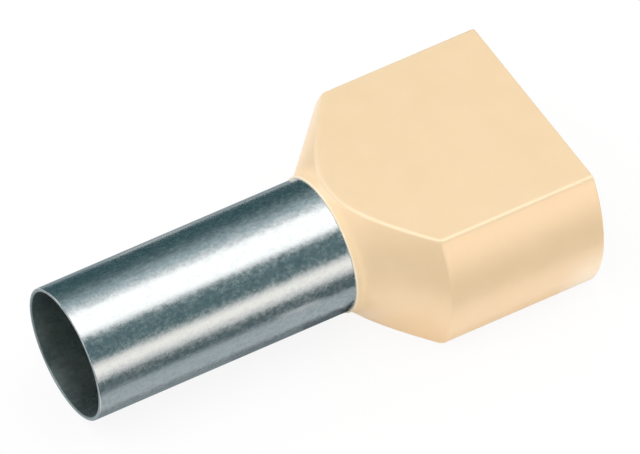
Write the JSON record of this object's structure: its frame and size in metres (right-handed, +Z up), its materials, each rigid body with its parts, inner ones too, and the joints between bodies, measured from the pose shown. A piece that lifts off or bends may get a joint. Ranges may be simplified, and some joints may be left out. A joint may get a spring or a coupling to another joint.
{
  "type": "wire ferrule",
  "caption": "Twin wire ferrule: a thin tinned copper sleeve in an ivory plastic collar, a turned cone and drum cut flat above and below and hollow for wires lying side by side.",
  "frame": {"origin": "on the ferrule's axis at the collar's front face, where the sleeve leaves it", "axes": "+X along the axis towards the wire entry, so the sleeve points to -X; +Z up, normal to the collar's two flats; Y across, the way the two wires lie side by side"},
  "size_m": [0.0259, 0.0134, 0.0072],
  "materials": {
    "tinned_copper": "electro-tinned copper, satin with a fine mottle",
    "ivory_plastic": "ivory polypropylene, satin as moulded"
  },
  "bodies": {
    "root": {"metal_sleeve": "tinned_copper", "plastic_collar": "ivory_plastic"}
  },
  "joints": []
}
